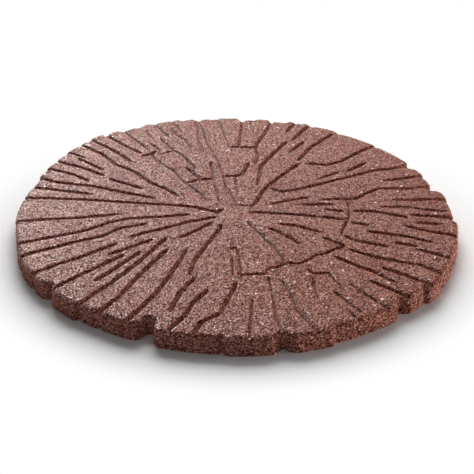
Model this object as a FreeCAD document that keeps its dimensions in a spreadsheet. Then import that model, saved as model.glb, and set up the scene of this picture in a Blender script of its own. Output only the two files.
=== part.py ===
"""Garden stepping stone: a round slab moulded in one piece from bonded rubber crumb.

The top imitates a sawn log end. Drying cracks run outward from an off-centre pith, some linked by short
jogs that follow the growth rings, and the rim is lobed where cracks run out or cleave it.
Millimetres, +Z up, origin at the middle of the flat underside, +Y toward the back of the slab.
"""
import math
import os

import FreeCAD
import Part

SIZES = {
    "diameter": 450.0,  # nominal width across the slab
    "thickness": 19.0,
    "edge_break": 3.2,  # bevel along the upper edge of the rim
    "crack_width": 4.4,  # at the top face
    "crack_floor": 1.7,
    "crack_depth": 3.4,
    "fine_width": 3.0,
    "fine_floor": 1.2,
    "fine_depth": 2.6,
    "crack_nose": 7.0,  # length over which a blind end narrows and rises to the top face
    "seam_depth": 1.2,  # faintest kind of gap between two rim lobes
    "seam_lip": 5.0,  # rounding of the lobes beside it
    "seam_root": 1.5,  # rounding at its bottom
    "nick_depth": 2.4,
    "nick_lip": 5.0,
    "nick_root": 1.5,
    "bite_depth": 7.0,
    "bite_lip": 11.0,
    "bite_root": 3.0,
    "cleft_depth": 14.5,  # the one deep split, in the front rim
    "cleft_lip": 9.0,
    "cleft_root": 5.5,
}

# The rim is a ring of lobes. Each starts at a gap: its angle in degrees from +X toward +Y, the kind of gap,
# then how far out the lobe reaches, in percent of half the diameter.
LOBES = (
    (4.9, "nick", 98.8),
    (12.8, "bite", 96.2),
    (20, "nick", 97.4),
    (27.4, "bite", 98),
    (43, "nick", 98.6),
    (57, "nick", 100.3),
    (66.2, "nick", 101.9),
    (70.7, "nick", 101.8),
    (75.4, "seam", 99.8),
    (79.2, "seam", 101.5),
    (85, "seam", 100),
    (88.7, "nick", 102.3),
    (92.5, "seam", 102.5),
    (97.5, "nick", 102.3),
    (101.5, "nick", 103.9),
    (106.2, "nick", 105),
    (110, "seam", 105.1),
    (115, "nick", 105.6),
    (120, "nick", 104.7),
    (125, "seam", 106.8),
    (129.8, "nick", 108),
    (136, "nick", 106.6),
    (140, "nick", 105.7),
    (146, "nick", 104.2),
    (151, "nick", 103.2),
    (156.5, "nick", 102),
    (161.5, "nick", 100),
    (167, "seam", 100.5),
    (173.6, "nick", 100.6),
    (186.4, "seam", 100.2),
    (197.7, "nick", 101),
    (204.3, "seam", 101.5),
    (213, "nick", 101.3),
    (219.6, "bite", 101.2),
    (230.8, "seam", 99.8),
    (236.8, "nick", 99.5),
    (249, "cleft", 100.2),
    (266.7, "nick", 101.2),
    (280.2, "bite", 101.6),
    (292.5, "seam", 100.4),
    (311.8, "bite", 100.6),
    (319.5, "seam", 102.5),
    (327.3, "seam", 101.3),
    (335, "seam", 100.5),
    (346, "seam", 100),
    (355, "nick", 98.4),
)

# A crack is a run of stations: angle in degrees, then percent of half the diameter. OUT runs past the rim.
OUT = 118
CRACKS = (
    # right, from +X toward the back
    ((8.5, 30), (6, 45)),
    ((7, 73.5), (5, OUT)),
    ((13, 41), (10.3, 56), (14.5, 63), (16.8, 70), (14.2, 83), (13, OUT)),
    ((17, 16.5), (19, 24), (19.5, 35)),
    ((21.8, 77), (20.8, 87), (20.3, OUT)),
    ((52, 26), (38, 27.5), (34, 36), (32, 47), (30.8, 63), (30.3, 78), (28.3, 86), (27.8, OUT)),
    ((35.3, 66), (36.6, 78.5)),
    ((53.5, 58), (50.2, 60), (45.5, 63), (43.4, 71), (44.1, 85), (43, OUT)),
    # back right
    ((20, 6.5), (38, 11), (50, 17), (57, 24), (57.5, 38), (56.5, 55)),
    ((58.8, 59), (60, 75), (58.6, 93), (57.5, OUT)),
    ((65.8, 66), (64.3, 79.5)),
    ((68.8, 79.5), (66.5, OUT)),
    ((68.5, 26.5), (71.5, 35), (74.8, 44), (73.6, 54), (70.4, 76.5)),
    ((72.8, 88), (70.8, OUT)),
    ((81.3, 65), (79.2, 57), (78.7, 47)),
    ((93, 65.4), (81.5, 65.5), (81.4, 70), (80.6, 76), (79.6, 89), (78.6, OUT)),
    ((83, 47.5), (86, 35), (90, 33), (100.4, 34)),
    # back
    ((89, 66), (88.6, 77), (88, OUT)),
    ((131.5, 35.2), (121, 34.6), (116, 33.3), (110, 32.3), (107.3, 38.5), (105.3, 50)),
    ((120, 35), (120.3, 48.5)),
    ((124.3, 73), (127.5, 71.7), (131, 72.5)),
    ((129.6, 75.5), (130.4, 88), (130.2, OUT)),
    # back left
    ((136.7, 71.5), (135.5, 84), (135, OUT)),
    ((155.3, 30), (149.3, 39), (147.5, 49), (142.6, 63.5), (142.7, 75), (139.8, 88), (139, OUT)),
    ((148.6, 76.5), (146.6, 94.5)),
    ((152.4, 73), (151.1, 84), (150.6, OUT)),
    ((155.6, 49), (153.9, 68.5)),
    ((158.4, 76.5), (156.3, 86), (155, OUT)),
    ((164.3, 40), (162.8, 58), (161.7, 72), (162.8, 89), (160.5, OUT)),
    ((167.9, 70), (167.2, OUT)),
    # left
    ((181, 6.3), (195, 9.3), (186, 12.5), (177, 17), (172.6, 23), (172.3, 36), (172.6, 70), (173.7, OUT)),
    ((184.8, 53.5), (186.3, 72), (186.4, OUT)),
    ((192.5, 22.5), (191.5, 36), (190, 50), (192.5, 59.5), (196.1, 69), (197.6, 93), (197.7, OUT)),
    ((198.6, 43), (198.4, 54), (202.4, 64), (202.6, 75), (204.4, OUT)),
    # front left
    ((217, 12), (212, 16), (208.2, 24), (208.3, 38), (207.5, 46), (208.3, 53)),
    ((210.2, 60.5), (212, 76), (213, OUT)),
    ((216.4, 46.5), (216, 67.5)),
    ((219.6, 62.5), (221.8, OUT)),
    ((222.2, 56), (224.6, 69), (226.1, 84)),
    ((227, 17), (227, 27), (225.5, 36)),
    ((219.5, 40), (224.5, 50), (228.3, 64), (230.3, 80), (231.2, OUT)),
    ((230, 46.5), (232.3, 58), (234.8, 72), (236.9, 88), (236.7, OUT)),
    ((238.5, 41), (241.8, 51), (244.4, 68), (245, 78), (243.8, OUT)),
    ((243, 15.5), (247.3, 19), (247.6, 36), (248, 48), (250.6, 59)),
    ((253.4, 60.5), (251.8, 73), (252.3, 86.5)),
    # front
    ((260, 68.5), (257, 79), (256.6, 88), (254.4, 99)),
    ((269.9, 62), (267.6, 72), (265.6, 84), (261.3, 91), (260.2, 99)),
    # front right
    ((309.5, 22.5), (312, 27), (312.3, 41.5)),
    ((312.2, 82), (315, OUT)),
    ((315, 59.5), (316.7, 78), (316.6, 89.5)),
    ((320.5, 78.5), (322.2, OUT)),
    ((325.8, 46), (325, 57.5)),
    ((323.6, 60.5), (324.6, 73), (327.3, 88)),
    ((328, 89.5), (327, OUT)),
    ((324.5, 23.5), (330, 30), (330.7, 42.5)),
    ((332.8, 53.5), (331.6, 59.5), (333, 73)),
    ((336.5, 75), (337, 84)),
    ((335.3, 86), (334.6, OUT)),
    ((341, 61.5), (341.7, 79), (340.8, 90)),
    ((335, 6.5), (346, 13), (349, 24), (349.6, 35), (349, 49)),
    ((346.8, 53), (346, 60)),
    ((348.5, 76.5), (346.6, 88), (345.6, OUT)),
    ((351.1, 81.5), (351.4, 91.5)),
    ((356.2, 79.5), (355, OUT)),
    ((0, 41), (357.6, 48.5)),
    ((358.2, 53), (358.4, 62), (355.8, 71), (354.4, 77.5)),
)
FINE_CRACKS = (
    # right and back
    ((1.8, 66), (1.6, 78), (-0.2, 86), (-1, 95)),
    ((9, 51.8), (0, 51.8), (350, 51), (341, 50.3), (333.5, 51.2)),
    ((37.5, 49), (37, 62)),
    ((87.5, 16.5), (90.3, 24), (90.6, 32)),
    ((34, 6), (60, 4.5), (88, 4.6), (95, 7.5), (100, 15), (103, 24), (100.5, 36)),
    ((100.5, 36), (100.8, 50), (102.3, 70), (101.6, 88), (102, OUT)),
    ((93.2, 66), (94.7, 82), (95, 91), (97.5, OUT)),
    ((106, 62), (104.9, 77), (103.2, 90), (102.4, OUT)),
    ((110.3, 65), (109.7, 79), (111.4, 86), (111.2, 96)),
    ((108.9, 88), (110, OUT)),
    ((114.5, 85.5), (115.3, OUT)),
    ((118.5, 68.8), (124, 69.3)),
    ((119.8, 88.5), (119.2, 97)),
    ((122.2, 73), (122.5, 82.5)),
    ((125.8, 76.5), (124.6, OUT)),
    ((145, 9), (130, 13), (119.5, 18), (113.5, 26.5)),
    ((115.7, 46), (116, 62), (117.4, 71), (117.6, 84.5)),
    ((148, 16), (142, 19), (135.5, 28.5), (131.8, 40), (128.6, 49), (128.2, 64), (127, 71)),
    ((145, 92), (144.7, OUT)),
    # front
    ((265.5, 35.5), (269.8, 33.5)),
    ((270, 34.5), (271.2, 42), (272, 52), (270.8, 55.5)),
    ((267.3, 40), (268.3, 56)),
    ((274.8, 75), (271.8, OUT)),
    ((283, 58), (281.5, 72), (280, 88), (280.3, OUT)),
    ((287.3, 62.5), (286.9, 79), (286.2, 85), (288.8, OUT)),
    ((292, 13), (294.2, 23), (295.8, 36), (294, 50)),
    ((298, 66.5), (294, 80)),
    ((298.2, 94.5), (298.6, OUT)),
    ((299.8, 78.5), (300.5, 97)),
    ((299.8, 59.5), (300.3, 63.5), (304.8, 66), (303.2, 81)),
    ((306.5, 77), (306.2, 89), (307.7, OUT)),
    # jagged line along a growth ring
    (
        (270.5, 56), (282.5, 56.2), (284.5, 52.4), (289.5, 52.6), (293.6, 50.6), (299, 53.8),
        (306, 53.2), (310, 52.3), (314, 54.3), (319.5, 54.6), (324, 57),
    ),
)

CLEAR = 3.0  # how far a cutter stands proud of the face it cuts
NOSE_SHARE = 0.4  # most of a run that its tapering end may take up
EPS = 0.01


def make_sheet(doc):
    """Put every driving size in the sheet under its own alias."""
    sheet = doc.addObject("Spreadsheet::Sheet", "sizes")
    for row, (alias, value) in enumerate(SIZES.items(), start=1):
        sheet.set(f"A{row}", alias)
        sheet.set(f"B{row}", str(value))
        sheet.setAlias(f"B{row}", alias)
    doc.recompute()
    return sheet


def polar(degrees, radius, height=0.0):
    angle = math.radians(degrees)
    return FreeCAD.Vector(radius * math.cos(angle), radius * math.sin(angle), height)


def unit(vector):
    return vector * (1.0 / vector.Length)


def sideways(vector):
    return FreeCAD.Vector(-vector.y, vector.x, 0)


def lip_arc(mouth, centre, touch, radius):
    """Rounding of a lobe's shoulder, from the lobe's face to the bottom of the gap."""
    middle = centre + unit(unit(mouth - centre) + unit(touch - centre)) * radius
    return Part.Arc(mouth, middle, touch)


def gap_arcs(sheet, angle, kind, before, after):
    """Both lips and the bottom of a gap between lobes of radius before and after, all running smoothly on."""
    depth, lip, root = (sheet.get(f"{kind}_{size}") for size in ("depth", "lip", "root"))
    bottom = min(before, after) - depth
    seat = bottom + root
    pivot = polar(angle, seat)
    shoulders = []
    for side, crown in ((-1, before), (1, after)):
        reach = crown - lip
        turn = math.acos((reach**2 + seat**2 - (lip + root) ** 2) / (2.0 * reach * seat))
        bearing = angle + side * math.degrees(turn)
        centre = polar(bearing, reach)
        touch = pivot + unit(centre - pivot) * root
        shoulders.append((bearing, lip_arc(polar(bearing, crown), centre, touch, lip), touch))
    (opens, near_lip, near), (closes, far_lip, far) = shoulders
    return opens, [near_lip, Part.Arc(near, polar(angle, bottom), far), far_lip], closes


def rim_arcs(sheet):
    """The lobed outline as one closed run of arcs, each tangent to the next."""
    crowns = [sheet.diameter / 200.0 * share for _, _, share in LOBES]
    gaps = [
        gap_arcs(sheet, angle, kind, crowns[n - 1], crowns[n])
        for n, (angle, kind, _) in enumerate(LOBES)
    ]
    arcs = []
    for n, (_, sides, starts) in enumerate(gaps):
        ends = gaps[(n + 1) % len(gaps)][0]
        ends += 360.0 if ends < starts else 0.0
        crown = [polar(bearing, crowns[n]) for bearing in (starts, (starts + ends) / 2.0, ends)]
        arcs += sides + [Part.Arc(*crown)]
    return arcs


def make_blank(doc, sheet):
    """The slab before any crack is cut: the lobed outline, padded, with its upper edge bevelled."""
    body = doc.addObject("PartDesign::Body", "blank")
    sketch = body.newObject("Sketcher::SketchObject", "outline")
    plane = next(item for item in body.Origin.OriginFeatures if item.Role == "XY_Plane")
    sketch.AttachmentSupport = [(plane, "")]
    sketch.MapMode = "FlatFace"
    sketch.addGeometry(rim_arcs(sheet), False)
    pad = body.newObject("PartDesign::Pad", "slab")
    pad.Profile = sketch
    pad.setExpression("Length", "sizes.thickness")
    doc.recompute()
    top = pad.Shape.BoundBox.ZMax
    upper = [n for n, edge in enumerate(pad.Shape.Edges, start=1) if edge.BoundBox.ZMin > top - EPS]
    bevel = body.newObject("PartDesign::Chamfer", "bevel")
    bevel.Base = (pad, [f"Edge{n}" for n in upper])
    bevel.setExpression("Size", "sizes.edge_break")
    doc.recompute()
    return body


def ring(point, across, sizes):
    """Corners of a crack's trapezoid section, its upper pair standing clear of the top face."""
    width, floor, depth = sizes
    half_top = (width + (width - floor) * CLEAR / depth) / 2.0
    rise = FreeCAD.Vector(0, 0, CLEAR)
    sink = FreeCAD.Vector(0, 0, -depth)
    return [
        point + across * half_top + rise,
        point - across * half_top + rise,
        point - across * (floor / 2.0) + sink,
        point + across * (floor / 2.0) + sink,
    ]


def blind_end(sheet, tip, inward, length, sizes):
    """Last full section of a crack and the apex beyond it, with the tip halfway along the taper."""
    nose = min(sheet.crack_nose, NOSE_SHARE * length)
    apex = tip - inward * (nose * (0.5 + CLEAR / sizes[-1])) + FreeCAD.Vector(0, 0, CLEAR)
    return ring(tip + inward * (nose / 2.0), sideways(inward), sizes), apex


def crack_cutter(sheet, stations, sizes):
    """Flat-sided channel along a run of stations, mitred at its bends, that tapers out at both ends."""
    points = [polar(angle, sheet.diameter / 200.0 * share) for angle, share in stations]
    steps = [b - a for a, b in zip(points, points[1:])]
    runs = [unit(step) for step in steps]
    first, start = blind_end(sheet, points[0], runs[0], steps[0].Length, sizes)
    last, stop = blind_end(sheet, points[-1], -runs[-1], steps[-1].Length, sizes)
    last = [last[n] for n in (1, 0, 3, 2)]
    rings = [first]
    for point, before, after in zip(points[1:], runs, runs[1:]):
        along = unit(before + after)
        rings.append(ring(point, sideways(along) * (1.0 / along.dot(after)), sizes))
    rings.append(last)
    loops = []
    for n in range(4):
        loops.append([start, first[n - 1], first[n]])
        loops.append([stop, last[n], last[n - 1]])
        loops += [[near[n - 1], near[n], far[n], far[n - 1]] for near, far in zip(rings, rings[1:])]
    faces = [Part.Face(Part.makePolygon(loop + loop[:1])) for loop in loops]
    solid = Part.Solid(Part.Shell(faces))
    if solid.Volume < 0:
        solid.reverse()
    return solid


def make_cutters(doc, sheet):
    """All the cracks as one tool, drawn from the top face down."""
    kinds = (
        (CRACKS, sheet.crack_width, sheet.crack_floor, sheet.crack_depth),
        (FINE_CRACKS, sheet.fine_width, sheet.fine_floor, sheet.fine_depth),
    )
    solids = [crack_cutter(sheet, run, sizes) for runs, *sizes in kinds for run in runs]
    tool = doc.addObject("Part::Feature", "relief")
    tool.Shape = solids[0].multiFuse(solids[1:])
    tool.setExpression("Placement.Base.z", "sizes.thickness")
    return tool


def main():
    doc = FreeCAD.newDocument("stepping_stone")
    sheet = make_sheet(doc)
    stone = doc.addObject("Part::Cut", "stepping_stone")
    stone.Base = make_blank(doc, sheet)
    stone.Tool = make_cutters(doc, sheet)
    stone.Label = "stepping_stone"
    doc.recompute()
    for item in doc.Objects:
        if "Invalid" in item.State or "Error" in item.State:
            raise RuntimeError(f"{item.Label} did not build")
    shape = stone.Shape
    if shape.isNull() or not shape.isValid() or len(shape.Solids) != 1:
        raise RuntimeError("the stepping stone is not one valid solid")
    os.makedirs("parts", exist_ok=True)
    shape.exportStep("parts/stepping_stone.step")


main()
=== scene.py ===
"""Looks of a garden stepping stone moulded from bonded rubber crumb, with a plain studio round it.

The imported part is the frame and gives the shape: the lobed slab with its cracks. This script gives that
shape its crumbly skin, its red-brown finish, a pale floor, soft lights and a camera. Metres, +Z up.
"""
import math

import bmesh
import bpy
from bpy.props import FloatProperty, FloatVectorProperty, IntProperty, PointerProperty
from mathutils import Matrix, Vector, noise
from mathutils.bvhtree import BVHTree


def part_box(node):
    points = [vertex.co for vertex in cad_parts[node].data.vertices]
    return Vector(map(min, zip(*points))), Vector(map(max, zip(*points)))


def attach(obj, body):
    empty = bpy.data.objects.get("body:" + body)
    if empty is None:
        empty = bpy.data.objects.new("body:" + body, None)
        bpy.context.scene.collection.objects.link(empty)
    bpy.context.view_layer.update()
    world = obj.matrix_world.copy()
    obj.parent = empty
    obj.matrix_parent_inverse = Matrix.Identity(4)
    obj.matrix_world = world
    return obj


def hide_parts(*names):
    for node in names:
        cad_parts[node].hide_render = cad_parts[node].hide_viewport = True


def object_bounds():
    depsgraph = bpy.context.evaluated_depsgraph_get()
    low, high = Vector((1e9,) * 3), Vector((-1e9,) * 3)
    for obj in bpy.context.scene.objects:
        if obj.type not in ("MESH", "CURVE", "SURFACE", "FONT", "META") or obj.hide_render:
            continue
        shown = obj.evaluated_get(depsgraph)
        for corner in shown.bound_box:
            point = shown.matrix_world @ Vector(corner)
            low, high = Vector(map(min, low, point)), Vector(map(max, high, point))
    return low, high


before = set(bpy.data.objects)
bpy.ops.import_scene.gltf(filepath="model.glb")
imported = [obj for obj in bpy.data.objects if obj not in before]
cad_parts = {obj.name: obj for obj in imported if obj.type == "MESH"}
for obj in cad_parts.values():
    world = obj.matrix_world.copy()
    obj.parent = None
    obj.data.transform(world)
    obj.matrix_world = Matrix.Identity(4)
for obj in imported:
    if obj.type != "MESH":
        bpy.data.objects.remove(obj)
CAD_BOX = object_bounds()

bl_info = {
    "name": "Garden stepping stone",
    "version": (1, 0, 0),
    "blender": (4, 5, 0),
    "location": "View3D > Sidebar > Stepping stone",
    "description": "Gives a log-slice stepping stone its rubber crumb skin and sets it in a plain studio",
    "category": "Object",
}

NODE = "stepping_stone"
PIECE = "crumb_moulding"
MM = 0.001
MERGE = 0.001 * MM
RIM_SHARE = 0.93  # of the half width: everything further out belongs to the rim
FOOT = 1.0 * MM  # plain strip of wall above the flat underside
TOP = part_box(NODE)[1].z
PIXELS = 474
CAMERA_FOCUS = 1093.0  # focal length of the view, in pixels of the frame
HOLLOW_GAIN = 1.6  # how soon the skin reaches its full drop, away from the middle of a cluster
WHITE = (1.0, 1.0, 1.0, 1.0)

# Grain of the crumb. A lot is a granule's own random number: 0 is the darkest brown and 1 the palest.
BARK_LOT, BROWN_FROM, BROWN_TO, CLAY_LOT, FAWN_LOT = 0.2, 0.35, 0.5, 0.72, 0.95
GLOSS_FROM, GLOSS_FULL = 0.4, 0.85  # lots from which a granule starts to shine and shines most
GAP_FROM, GAP_FULL = 0.47, 0.84  # in granules from a granule's middle: its gap's painted shade starts, and is full
STIR_RIPPLES = 0.7  # ripples per granule, which make the outlines of the granules uneven
STIR_SHIFT = 0.5  # how far the ripples shift an outline, in granules
RISE_SPREAD = 0.6  # how unevenly high the granules stand, as a share of their rise
RUBBER_IOR = 1.52

# Tints of the crumb, painted light and painted shade among them: where each starts and where it is full.
WARM_CORE = 0.3  # share of the warm patch's reach that has the full tint
# Top tint: partly the top's weathered tone, partly painted light that leaves the cracks and wall brighter.
TOP_TINT_FROM, TOP_TINT_FULL = 2.0 * MM, 0.7 * MM  # below the top face
# Painted shade on the floors of the cracks: depths below the top face where it starts and where it is full.
CRACK_SHADE_FROM, CRACK_SHADE_FULL = 1.6 * MM, 2.6 * MM  # below the top face
LEVEL_FROM, LEVEL_FULL = 0.5, 0.85  # upward part of the normal of a face that takes the painted shade
SPECKS_FROM, SPECKS_FULL = -0.3, 0.1  # of the half width: pale granules, none on the left

# Sockets of a Mix node by number, because several of them share a name.
MIX_SHARE, MIX_A, MIX_B, MIX_OUT = 0, 6, 7, 2

# Stage: places and widths in metres.
FLOOR_HALF = 6.0
FLOOR_DROP = 0.1 * MM  # keeps the floor clear of the slab's underside
KEY_PLACE, KEY_WIDTH = (0.0, 1.55, 1.05), 1.5
SHEEN_PLACE, SHEEN_WIDTH = (-0.66, 1.26, 0.74), 0.4
SIDE_PLACE, SIDE_WIDTH = (1.45, -0.15, 0.085), 0.15


def linear(code):
    """Linear colour of an sRGB hex code."""
    parts = [int(code[n:n + 2], 16) / 255.0 for n in (0, 2, 4)]
    return tuple(p / 12.92 if p <= 0.04045 else ((p + 0.055) / 1.055) ** 2.4 for p in parts)


class MouldingSettings(bpy.types.PropertyGroup):
    """Sizes of the crumb relief that the mesh carries."""

    mesh_step: FloatProperty(
        name="Mesh step", description="Edge length of the surface mesh",
        default=1.0 * MM, min=0.8 * MM, max=6.0 * MM, unit="LENGTH", precision=5)
    shoulder_passes: IntProperty(
        name="Shoulder passes", description="How often edges are eased, as pressed crumb leaves them",
        default=1, min=0, max=12)
    triangles: IntProperty(
        name="Triangles", description="The mesh is thinned to about this many triangles",
        default=190000, min=20000)
    lump_width: FloatProperty(
        name="Lump width", description="Width of a cluster of granules that stands out of the face",
        default=2.6 * MM, unit="LENGTH", precision=5)
    lump_drop: FloatProperty(
        name="Lump drop", description="Depth of the hollows between clusters on the top face",
        default=0.35 * MM, unit="LENGTH", precision=5)
    edge_drop: FloatProperty(
        name="Edge drop", description="Depth of the hollows between clusters on steep faces",
        default=0.6 * MM, unit="LENGTH", precision=5)
    rag_width: FloatProperty(
        name="Rag width", description="Width of the places where a crack's edge has crumbled",
        default=4.0 * MM, unit="LENGTH", precision=5)
    rag_drop: FloatProperty(
        name="Rag drop", description="How far a crack's edge has crumbled there",
        default=1.0 * MM, unit="LENGTH", precision=5)
    rim_passes: IntProperty(
        name="Rim passes", description="How often the rim's shoulders are eased further",
        default=8, min=0, max=20)
    sway_width: FloatProperty(
        name="Sway width", description="Length of the slow unevenness of the face",
        default=38.0 * MM, unit="LENGTH", precision=5)
    sway_drop: FloatProperty(
        name="Sway drop", description="Depth of the slow unevenness of the face",
        default=0.35 * MM, unit="LENGTH", precision=5)


class FinishSettings(bpy.types.PropertyGroup):
    """Colours and grain of the bonded rubber crumb."""

    # Real crumb runs from dust to about 2 mm. All of it is drawn this coarse, so that the fine part shows.
    granule: FloatProperty(
        name="Granule", description="Width of one rubber granule",
        default=1.05 * MM, unit="LENGTH", precision=5)
    granule_rise: FloatProperty(
        name="Granule rise", description="How far a granule stands out of the binder",
        default=0.5 * MM, unit="LENGTH", precision=5)
    facet_tilt: FloatProperty(
        name="Facet tilt", description="How far a granule's face leans from the mould's face",
        default=1.0, min=0.0, max=2.0)
    roughness: FloatProperty(
        name="Roughness", description="Roughness of the smoothest granules on the top face",
        default=0.2, min=0.0, max=1.0, subtype="FACTOR")
    dull: FloatProperty(
        name="Dull", description="Roughness of dark granules, in the gaps, in the cracks and on the wall",
        default=1.0, min=0.0, max=1.0, subtype="FACTOR")
    binder: FloatVectorProperty(
        name="Binder", description="Tint of the sheen on the pigmented binder", subtype="COLOR",
        default=linear("ffece4"))
    brown: FloatVectorProperty(
        name="Brown", description="Most of the granules", subtype="COLOR", default=linear("c06f5a"))
    clay: FloatVectorProperty(
        name="Clay", description="Lighter granules", subtype="COLOR", default=linear("e89a86"))
    fawn: FloatVectorProperty(
        name="Fawn", description="Lightest granules", subtype="COLOR", default=linear("ffd4c6"))
    bark: FloatVectorProperty(
        name="Bark", description="Dark granules", subtype="COLOR", default=linear("803829"))
    # The darkest granules, and the painted shade in the hollows between granules.
    pit: FloatVectorProperty(
        name="Pit", description="Gaps between granules", subtype="COLOR", default=linear("521c12"))
    shell: FloatVectorProperty(
        name="Shell", description="The few pale granules", subtype="COLOR", default=linear("ffd2c8"))
    # Partly the top's weathered tone, partly painted light: the untinted cracks and wall read as lit.
    worn_top_and_painted_light: FloatVectorProperty(
        name="Worn", description="Tint of the weathered crumb on the top face", subtype="COLOR",
        default=linear("d8c5ba"))
    # Painted shade: the floors of the cracks are tinted darker, where shade falls.
    crack_floor_shade: FloatVectorProperty(
        name="Dirt", description="Tint of the dirt that lies on the floors of the cracks", subtype="COLOR",
        default=linear("beb6b1"))
    warm: FloatVectorProperty(
        name="Warm", description="Tint of the patch that has more orange crumb", subtype="COLOR",
        default=linear("fff3dc"))
    warm_place: FloatVectorProperty(
        name="Warm place", description="Middle of the patch that has more orange crumb",
        subtype="TRANSLATION", default=(70.0 * MM, -120.0 * MM, TOP))
    warm_reach: FloatProperty(
        name="Warm reach", description="Half the width of the patch that has more orange crumb",
        default=120.0 * MM, unit="LENGTH")
    speck: FloatProperty(
        name="Speck", description="Width of a pale granule", default=3.0 * MM, unit="LENGTH", precision=5)
    speck_pitch: FloatProperty(
        name="Speck pitch", description="Spacing of the pale granules through the crumb",
        default=14.0 * MM, unit="LENGTH", precision=5)


class StageSettings(bpy.types.PropertyGroup):
    """Floor, lights and camera."""

    floor: FloatVectorProperty(
        name="Floor", description="Colour of the floor", subtype="COLOR", default=linear("f0f0f0"))
    floor_shown: FloatProperty(
        name="Floor shown", description="Brightness of the floor round the slab where the camera sees it",
        default=1.05)
    # Painted light: from just outside the rim the floor fades to a white glow that lifts the slab's shadow.
    white_from: FloatProperty(
        name="White from", description="Distance from the middle where the floor starts to fade to white",
        default=230.0 * MM, unit="LENGTH")
    white_past: FloatProperty(
        name="White past", description="Distance from the middle past which the floor shows plain white",
        default=285.0 * MM, unit="LENGTH")
    ambient: FloatProperty(
        name="Ambient", description="Even light from all round", default=0.13)
    key: FloatProperty(
        name="Key", description="Power of the soft light behind the slab, which gives no gloss",
        default=50.0, subtype="POWER")
    sheen: FloatProperty(
        name="Sheen", description="Power of the light behind on the left, which gives gloss alone",
        default=78.0, subtype="POWER")
    side: FloatProperty(
        name="Side", description="Power of the low light on the right, which gives no gloss",
        default=9.0, subtype="POWER")
    camera_back: FloatProperty(
        name="Camera back", description="Distance of the camera in front of the slab's middle",
        default=984.1 * MM, unit="LENGTH")
    camera_rise: FloatProperty(
        name="Camera rise", description="Height of the camera above the top face",
        default=545.1 * MM, unit="LENGTH")
    camera_dip: FloatProperty(
        name="Camera dip", description="Angle of the view below the horizon",
        default=math.radians(30.457), subtype="ANGLE")


def add(tree, kind, values=None, links=None):
    """Add a node, set its properties, sockets or ramp stops, and link what feeds it."""
    node = tree.nodes.new(kind)
    for key, value in (values or {}).items():
        if key == "stops":
            ramp = node.color_ramp
            ramp.elements.remove(ramp.elements[1])
            for n, (place, colour) in enumerate(value):
                stop = ramp.elements[0] if n == 0 else ramp.elements.new(place)
                stop.position = place
                stop.color = (*colour, 1.0)
        elif isinstance(key, str) and hasattr(node, key):
            setattr(node, key, value)
        else:
            node.inputs[key].default_value = value
    for key, source in (links or {}).items():
        tree.links.new(source, node.inputs[key])
    return node


def new_material(name):
    """An empty node material and its tree."""
    material = bpy.data.materials.new(name)
    material.use_nodes = True
    material.node_tree.nodes.clear()
    return material, material.node_tree


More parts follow.
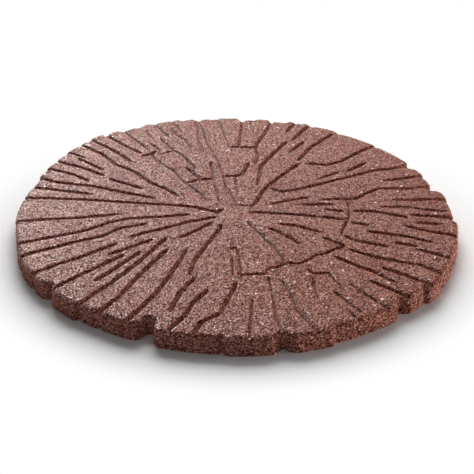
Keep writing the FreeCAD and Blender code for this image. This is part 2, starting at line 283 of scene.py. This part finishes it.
def bonded_rubber_crumb(finish):
    """Pressed and bonded rubber crumb: granules of many browns, dark gaps between them, a waxy face.

    It gives the eye a fine salt-and-pepper grain that is matt in the gaps and catches a soft sheen on the
    tops of the paler granules. The dark of the gaps is painted shade in the hollows between granules.
    The top face is tinted darker than the cracks and the wall: partly its weathered tone, partly painted
    light that leaves the cracks and the wall brighter. The floors of the cracks are tinted darker: painted
    shade.
    """
    material, tree = new_material("bonded_rubber_crumb")
    place = add(tree, "ShaderNodeTexCoord").outputs["Object"]
    stir = add(tree, "ShaderNodeTexNoise", {"Scale": STIR_RIPPLES / finish.granule, "Detail": 2.0},
               {"Vector": place})
    shift = add(tree, "ShaderNodeVectorMath", {
        "operation": "MULTIPLY_ADD", 1: (STIR_SHIFT * finish.granule,) * 3},
        {0: stir.outputs["Color"], 2: place})
    grain = add(tree, "ShaderNodeTexVoronoi", {"feature": "F1", "Scale": 1.0 / finish.granule},
                {"Vector": shift.outputs["Vector"]})
    lot = add(tree, "ShaderNodeSeparateColor", links={"Color": grain.outputs["Color"]})
    browns = add(tree, "ShaderNodeValToRGB", {"stops": (
        (0.0, finish.pit), (BARK_LOT, finish.bark), (BROWN_FROM, finish.brown), (BROWN_TO, finish.brown),
        (CLAY_LOT, finish.clay), (FAWN_LOT, finish.fawn))},
        {"Fac": lot.outputs["Red"]})
    away = add(tree, "ShaderNodeVectorMath", {"operation": "DISTANCE", 1: finish.warm_place}, {0: place})
    warmth = add(tree, "ShaderNodeMapRange", {
        "interpolation_type": "SMOOTHSTEP", "From Min": WARM_CORE * finish.warm_reach,
        "From Max": finish.warm_reach, "To Min": 1.0, "To Max": 0.0}, {"Value": away.outputs["Value"]})
    warmed = add(tree, "ShaderNodeMix", {
        "data_type": "RGBA", "blend_type": "MULTIPLY", MIX_B: (*finish.warm, 1.0)},
        {MIX_SHARE: warmth.outputs["Result"], MIX_A: browns.outputs["Color"]})
    spot = add(tree, "ShaderNodeSeparateXYZ", links={"Vector": place})
    # Painted light: the top face is tinted darker, so the untinted cracks and wall read as lit; partly the
    # top's weathered tone. The same share keeps the gloss to the top face.
    top_wear_and_painted_light = add(tree, "ShaderNodeMapRange", {"From Min": TOP - TOP_TINT_FROM, "From Max": TOP - TOP_TINT_FULL},
               {"Value": spot.outputs["Z"]})
    top_tinted = add(tree, "ShaderNodeMix", {
        "data_type": "RGBA", "blend_type": "MULTIPLY", MIX_B: (*finish.worn_top_and_painted_light, 1.0)},
        {MIX_SHARE: top_wear_and_painted_light.outputs["Result"], MIX_A: warmed.outputs[MIX_OUT]})
    face = add(tree, "ShaderNodeNewGeometry")
    slope = add(tree, "ShaderNodeSeparateXYZ", links={"Vector": face.outputs["Normal"]})
    # Painted shade: level faces deep in the cracks, their floors, are tinted darker.
    level = add(tree, "ShaderNodeMapRange", {"From Min": LEVEL_FROM, "From Max": LEVEL_FULL},
                {"Value": slope.outputs["Z"]})
    low = add(tree, "ShaderNodeMapRange", {"From Min": TOP - CRACK_SHADE_FROM, "From Max": TOP - CRACK_SHADE_FULL},
              {"Value": spot.outputs["Z"]})
    floor_shade_share = add(tree, "ShaderNodeMath", {"operation": "MULTIPLY"},
                  {0: level.outputs["Result"], 1: low.outputs["Result"]})
    crack_floor_shaded = add(tree, "ShaderNodeMix", {
        "data_type": "RGBA", "blend_type": "MULTIPLY", MIX_B: (*finish.crack_floor_shade, 1.0)},
        {MIX_SHARE: floor_shade_share.outputs["Value"], MIX_A: top_tinted.outputs[MIX_OUT]})
    # Painted shade: the gaps between granules, the low places of their bump, take the dark pit colour.
    gap = add(tree, "ShaderNodeMapRange", {
        "interpolation_type": "SMOOTHSTEP", "From Min": GAP_FROM, "From Max": GAP_FULL},
        {"Value": grain.outputs["Distance"]})
    gap_shaded = add(tree, "ShaderNodeMix", {"data_type": "RGBA", MIX_B: (*finish.pit, 1.0)},
                 {MIX_SHARE: gap.outputs["Result"], MIX_A: crack_floor_shaded.outputs[MIX_OUT]})
    pale = add(tree, "ShaderNodeTexVoronoi", {"feature": "F1", "Scale": 1.0 / finish.speck_pitch},
               {"Vector": shift.outputs["Vector"]})
    share = add(tree, "ShaderNodeMapRange", {
        "From Min": SPECKS_FROM * CAD_BOX[1].x, "From Max": SPECKS_FULL * CAD_BOX[1].x,
        "To Max": 0.5 * finish.speck / finish.speck_pitch}, {"Value": spot.outputs["X"]})
    rare = add(tree, "ShaderNodeMath", {"operation": "LESS_THAN"},
               {0: pale.outputs["Distance"], 1: share.outputs["Result"]})
    colour = add(tree, "ShaderNodeMix", {"data_type": "RGBA", MIX_B: (*finish.shell, 1.0)},
                 {MIX_SHARE: rare.outputs["Value"], MIX_A: gap_shaded.outputs[MIX_OUT]})
    dome = add(tree, "ShaderNodeMath", {"operation": "MULTIPLY_ADD", 1: -1.0, 2: 1.0},
               {0: grain.outputs["Distance"]})
    height = add(tree, "ShaderNodeMath", {"operation": "MULTIPLY_ADD", 1: RISE_SPREAD},
                 {0: lot.outputs["Blue"], 2: dome.outputs["Value"]})
    smooth = add(tree, "ShaderNodeMapRange", {"From Min": GLOSS_FROM, "From Max": GLOSS_FULL},
                 {"Value": lot.outputs["Red"]})
    bare = add(tree, "ShaderNodeMath", {"operation": "MULTIPLY"},
               {0: top_wear_and_painted_light.outputs["Result"], 1: smooth.outputs["Result"]})
    open_top = add(tree, "ShaderNodeMath", {"operation": "SUBTRACT"},
                   {0: bare.outputs["Value"], 1: gap.outputs["Result"]})
    rough = add(tree, "ShaderNodeMapRange", {"To Min": finish.dull, "To Max": finish.roughness},
                {"Value": open_top.outputs["Value"]})
    turn = add(tree, "ShaderNodeCombineXYZ", links={
        "X": lot.outputs["Blue"], "Y": lot.outputs["Green"], "Z": lot.outputs["Red"]})
    lean = add(tree, "ShaderNodeVectorMath", {"operation": "MULTIPLY_ADD", 1: (finish.facet_tilt,) * 3},
               {0: turn.outputs["Vector"], 2: face.outputs["Normal"]})
    even = add(tree, "ShaderNodeVectorMath", {"operation": "SUBTRACT", 1: (0.5 * finish.facet_tilt,) * 3},
               {0: lean.outputs["Vector"]})
    facet = add(tree, "ShaderNodeVectorMath", {"operation": "NORMALIZE"}, {0: even.outputs["Vector"]})
    bump = add(tree, "ShaderNodeBump", {"Strength": 1.0, "Distance": finish.granule_rise},
               {"Height": height.outputs["Value"], "Normal": facet.outputs["Vector"]})
    shader = add(tree, "ShaderNodeBsdfPrincipled", {
        "IOR": RUBBER_IOR, "Specular IOR Level": 0.5, "Specular Tint": (*finish.binder, 1.0)}, {
        "Base Color": colour.outputs[MIX_OUT], "Roughness": rough.outputs["Result"],
        "Normal": bump.outputs["Normal"]})
    add(tree, "ShaderNodeOutputMaterial", links={"Surface": shader.outputs["BSDF"]})
    return material


def cad_copy():
    """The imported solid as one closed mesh, its loose triangles merged at their corners."""
    bm = bmesh.new()
    bm.from_mesh(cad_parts[NODE].data)
    bmesh.ops.remove_doubles(bm, verts=bm.verts, dist=MERGE)
    mesh = bpy.data.meshes.new(PIECE)
    bm.to_mesh(mesh)
    bm.free()
    piece = bpy.data.objects.new(PIECE, mesh)
    bpy.context.scene.collection.objects.link(piece)
    return piece


def apply_modifier(piece, kind, settings):
    """Finish the piece's mesh with one modifier."""
    modifier = piece.modifiers.new(kind.lower(), kind)
    for name, value in settings.items():
        setattr(modifier, name, value)
    shown = piece.evaluated_get(bpy.context.evaluated_depsgraph_get())
    mesh = bpy.data.meshes.new_from_object(shown)
    piece.modifiers.clear()
    piece.data = mesh


def sunk(point, steep, sizes):
    """How far the crumb lies below the mould's face at a point."""
    near = noise.voronoi(point / sizes.lump_width)[0][0]
    slow = 0.5 + 0.5 * noise.noise(point / sizes.sway_width)
    above_foot = max(0.0, min(1.0, (point.z - FOOT) / FOOT))
    lump = sizes.lump_drop + (sizes.edge_drop - sizes.lump_drop) * steep
    rag = sizes.rag_drop * steep * max(0.0, noise.noise(point / sizes.rag_width))
    return above_foot * (lump * min(1.0, near * near * HOLLOW_GAIN) + sizes.sway_drop * slow + rag)


def cut_underside(bm):
    """Cut off the underside's fine mesh, just above the floor."""
    bmesh.ops.bisect_plane(
        bm, geom=bm.verts[:] + bm.edges[:] + bm.faces[:], dist=MERGE,
        plane_co=(0.0, 0.0, FOOT), plane_no=(0.0, 0.0, 1.0), clear_inner=True)


def ease(bm, verts, passes):
    """Round off edges by moving each vertex toward the middle of its neighbours."""
    for _ in range(passes):
        bmesh.ops.smooth_vert(
            bm, verts=verts, factor=0.5, use_axis_x=True, use_axis_y=True, use_axis_z=True)


def deepen(verts, solid):
    """Take the floors of the cracks, which easing has raised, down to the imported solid's again."""
    for vert in verts:
        hit = solid.ray_cast(Vector((*vert.co.xy, 2.0 * TOP)), Vector((0.0, 0.0, -1.0)))[0]
        if hit and hit.z > 0.5 * TOP:  # a lower hit is beside the top, in a notch of the rim
            vert.co.z = min(vert.co.z, hit.z)


def crumble(bm, solid, sizes):
    """Ease the edges, then sink the skin between clusters of granules."""
    skin = [vert for vert in bm.verts if vert.co.z > 2.0 * FOOT]
    rim = [vert for vert in skin if vert.co.xy.length > RIM_SHARE * CAD_BOX[1].x]
    ease(bm, skin, sizes.shoulder_passes)
    ease(bm, rim, sizes.rim_passes)
    deepen(skin, solid)
    bm.normal_update()
    for vert in skin:
        vert.co -= vert.normal * sunk(vert.co, 1.0 - max(0.0, vert.normal.z), sizes)


def close_underside(bm):
    """Carry the wall down to the floor and close it with a flat face to rest on."""
    foot = [edge for edge in bm.edges if edge.is_boundary]
    made = bmesh.ops.extrude_edge_only(bm, edges=foot)["geom"]
    for vert in (item for item in made if isinstance(item, bmesh.types.BMVert)):
        vert.co.z = 0.0
    for face in bm.faces:
        face.smooth = True
    sole = [item for item in made if isinstance(item, bmesh.types.BMEdge) and item.is_boundary]
    bmesh.ops.triangle_fill(bm, use_beauty=True, edges=sole, normal=(0.0, 0.0, -1.0))
    for edge in sole:
        edge.smooth = False
    bmesh.ops.recalc_face_normals(bm, faces=bm.faces)


def is_closed(mesh):
    """Whether every edge of the mesh joins two faces."""
    bm = bmesh.new()
    bm.from_mesh(mesh)
    closed = all(edge.is_manifold for edge in bm.edges)
    bm.free()
    return closed


class STONE_OT_mould(bpy.types.Operator):
    """Mould the stepping stone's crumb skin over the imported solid"""

    bl_idname = "stepping_stone.mould"
    bl_label = "Mould the stone"

    def execute(self, context):
        sizes = context.scene.stone_moulding
        piece = cad_copy()
        solid = BVHTree.FromObject(piece, context.evaluated_depsgraph_get())
        apply_modifier(piece, "REMESH", {"mode": "VOXEL", "voxel_size": sizes.mesh_step})
        bm = bmesh.new()
        bm.from_mesh(piece.data)
        cut_underside(bm)
        crumble(bm, solid, sizes)
        close_underside(bm)
        bmesh.ops.triangulate(bm, faces=bm.faces)
        share = min(1.0, sizes.triangles / len(bm.faces))
        bm.to_mesh(piece.data)
        bm.free()
        apply_modifier(piece, "DECIMATE", {"ratio": share})
        if not is_closed(piece.data):
            raise RuntimeError("the moulding is not closed")
        piece.data.materials.clear()
        piece.data.materials.append(bonded_rubber_crumb(context.scene.stone_finish))
        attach(piece, "root")
        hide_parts(NODE)
        return {"FINISHED"}


def pale_floor(stage):
    """Smooth painted board: an even pale ground with the slab's shadow, which a white glow from the rim out
    lifts as painted light.
    """
    material, tree = new_material("painted_board")
    material.cycles.emission_sampling = "NONE"  # the white surround is seen, and lights nothing
    place = add(tree, "ShaderNodeTexCoord").outputs["Object"]
    reach = add(tree, "ShaderNodeVectorMath", {"operation": "LENGTH"}, {0: place})
    # Painted light: the white glow starts at the rim and lifts the outer part of the slab's shadow.
    painted_light_share = add(tree, "ShaderNodeMapRange", {
        "interpolation_type": "SMOOTHSTEP", "From Min": stage.white_from, "From Max": stage.white_past},
        {"Value": reach.outputs["Value"]})
    path = add(tree, "ShaderNodeLightPath")
    gloss = add(tree, "ShaderNodeMath", {"operation": "MAXIMUM"},
                {0: path.outputs["Is Camera Ray"], 1: path.outputs["Is Glossy Ray"]})
    seen = add(tree, "ShaderNodeMath", {"operation": "MAXIMUM"},
               {0: gloss.outputs["Value"], 1: path.outputs["Is Transmission Ray"]})
    plain = add(tree, "ShaderNodeBsdfDiffuse", {"Color": (*stage.floor, 1.0)})
    shown = add(tree, "ShaderNodeBsdfDiffuse", {"Color": (stage.floor_shown,) * 3 + (1.0,)})
    white = add(tree, "ShaderNodeEmission", {"Color": WHITE, "Strength": 1.0})
    ground = add(tree, "ShaderNodeMixShader", links={
        0: painted_light_share.outputs["Result"], 1: shown.outputs["BSDF"], 2: white.outputs["Emission"]})
    mix = add(tree, "ShaderNodeMixShader", links={
        0: seen.outputs["Value"], 1: plain.outputs["BSDF"], 2: ground.outputs["Shader"]})
    add(tree, "ShaderNodeOutputMaterial", links={"Surface": mix.outputs["Shader"]})
    return material


def add_floor(stage):
    """A wide plain floor just under the slab."""
    bm = bmesh.new()
    bmesh.ops.create_grid(bm, x_segments=2, y_segments=2, size=FLOOR_HALF)
    bmesh.ops.translate(bm, verts=bm.verts, vec=(0.0, 0.0, -FLOOR_DROP))
    mesh = bpy.data.meshes.new("floor")
    bm.to_mesh(mesh)
    bm.free()
    mesh.materials.append(pale_floor(stage))
    floor = bpy.data.objects.new("floor", mesh)
    bpy.context.scene.collection.objects.link(floor)


def add_softbox(name, place, width, power):
    """A square soft light that faces the slab's middle."""
    lamp = bpy.data.lights.new(name, "AREA")
    lamp.size = width
    lamp.energy = power
    box = bpy.data.objects.new(name, lamp)
    box.location = place
    box.rotation_euler = (Vector((0.0, 0.0, TOP)) - box.location).to_track_quat("-Z", "Y").to_euler()
    bpy.context.scene.collection.objects.link(box)
    return box


def light_world(stage):
    """Even light from all round, white where the camera sees past the floor."""
    world = bpy.data.worlds.new("studio")
    world.use_nodes = True
    tree = world.node_tree
    tree.nodes.clear()
    path = add(tree, "ShaderNodeLightPath")
    strength = add(tree, "ShaderNodeMapRange", {"To Min": stage.ambient, "To Max": 1.0},
                   {"Value": path.outputs["Is Camera Ray"]})
    sky = add(tree, "ShaderNodeBackground", {"Color": WHITE}, {"Strength": strength.outputs["Result"]})
    add(tree, "ShaderNodeOutputWorld", links={"Surface": sky.outputs["Background"]})
    bpy.context.scene.world = world


def add_camera(stage):
    """The camera stands in front of the slab and looks down on it."""
    lens = bpy.data.cameras.new("camera")
    lens.lens = CAMERA_FOCUS / PIXELS * lens.sensor_width
    camera = bpy.data.objects.new("camera", lens)
    camera.location = (0.0, -stage.camera_back, TOP + stage.camera_rise)
    camera.rotation_euler = (math.pi / 2.0 - stage.camera_dip, 0.0, 0.0)
    bpy.context.scene.collection.objects.link(camera)
    bpy.context.scene.camera = camera


class STONE_OT_stage(bpy.types.Operator):
    """Set the stepping stone on a pale floor with soft lights and a camera"""

    bl_idname = "stepping_stone.stage"
    bl_label = "Set the stage"

    def execute(self, context):
        stage = context.scene.stone_stage
        add_floor(stage)
        light_world(stage)
        add_softbox("key_light", KEY_PLACE, KEY_WIDTH, stage.key).visible_glossy = False
        add_softbox("sheen_light", SHEEN_PLACE, SHEEN_WIDTH, stage.sheen).visible_diffuse = False
        add_softbox("side_light", SIDE_PLACE, SIDE_WIDTH, stage.side).visible_glossy = False
        add_camera(stage)
        context.scene.view_settings.view_transform = "Standard"
        return {"FINISHED"}


class STONE_PT_panel(bpy.types.Panel):
    """Sizes, colours and steps of the stepping stone"""

    bl_idname = "STONE_PT_panel"
    bl_label = "Stepping stone"
    bl_space_type = "VIEW_3D"
    bl_region_type = "UI"
    bl_category = "Stepping stone"

    def draw(self, context):
        scene = context.scene
        for settings in (scene.stone_moulding, scene.stone_finish, scene.stone_stage):
            column = self.layout.column(align=True)
            for name in settings.__annotations__:
                column.prop(settings, name)
        self.layout.operator(STONE_OT_mould.bl_idname)
        self.layout.operator(STONE_OT_stage.bl_idname)


CLASSES = (
    MouldingSettings,
    FinishSettings,
    StageSettings,
    STONE_OT_mould,
    STONE_OT_stage,
    STONE_PT_panel,
)


def register():
    for item in CLASSES:
        bpy.utils.register_class(item)
    bpy.types.Scene.stone_moulding = PointerProperty(type=MouldingSettings)
    bpy.types.Scene.stone_finish = PointerProperty(type=FinishSettings)
    bpy.types.Scene.stone_stage = PointerProperty(type=StageSettings)


def unregister():
    del bpy.types.Scene.stone_stage
    del bpy.types.Scene.stone_finish
    del bpy.types.Scene.stone_moulding
    for item in reversed(CLASSES):
        bpy.utils.unregister_class(item)


def main():
    """Make the piece and the stage."""
    register()
    bpy.ops.stepping_stone.mould()
    bpy.ops.stepping_stone.stage()


if __name__ == "__main__":
    main()
